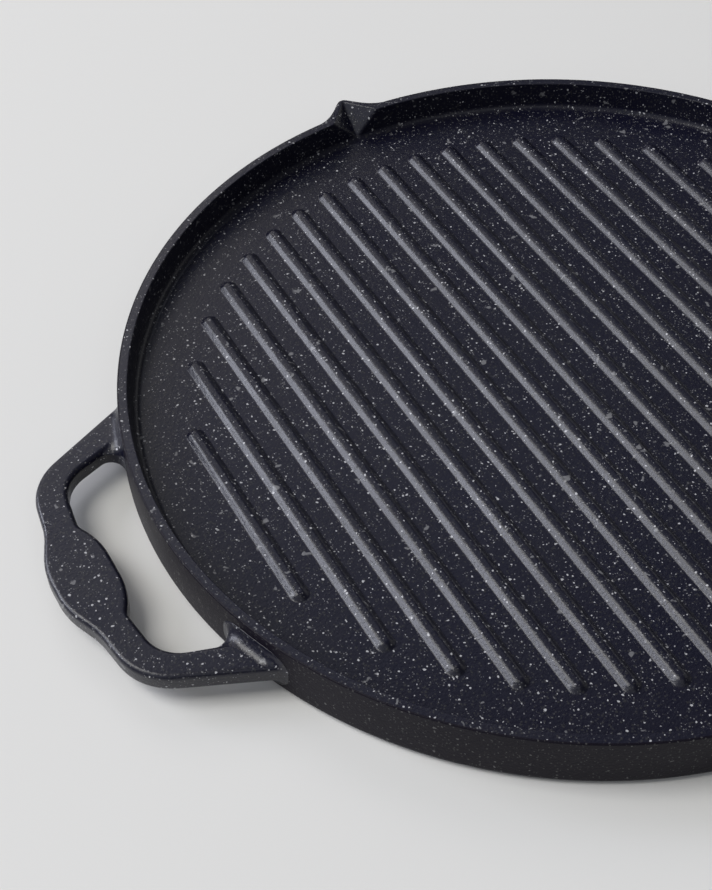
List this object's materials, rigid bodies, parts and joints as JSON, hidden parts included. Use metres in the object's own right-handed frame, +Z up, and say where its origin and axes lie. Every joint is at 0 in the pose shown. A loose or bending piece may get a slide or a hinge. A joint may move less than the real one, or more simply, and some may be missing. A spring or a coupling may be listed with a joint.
{
  "type": "grill pan",
  "caption": "Round ribbed grill pan with a low wall, opposed loop handles and pouring lips cast in one, and a perforated steel induction disc pressed into its base.",
  "frame": {"origin": "centre of the flat pad under the pan, where it meets the hob", "axes": "+X through the middle of one loop handle, +Y through the tip of one pouring lip and along the ribs, +Z up out of the cooking hollow"},
  "size_m": [0.4074, 0.3486, 0.0223],
  "materials": {
    "coated_casting": "satin near-black non-stick coating with fine pale grey specks over cast aluminium; the pad under the pan and the studs in the disc are turned bare metal",
    "induction_steel": "turned ferritic stainless steel, fine circular lines"
  },
  "bodies": {
    "root": {"pan_casting": "coated_casting", "induction_disc": "induction_steel"}
  },
  "joints": []
}
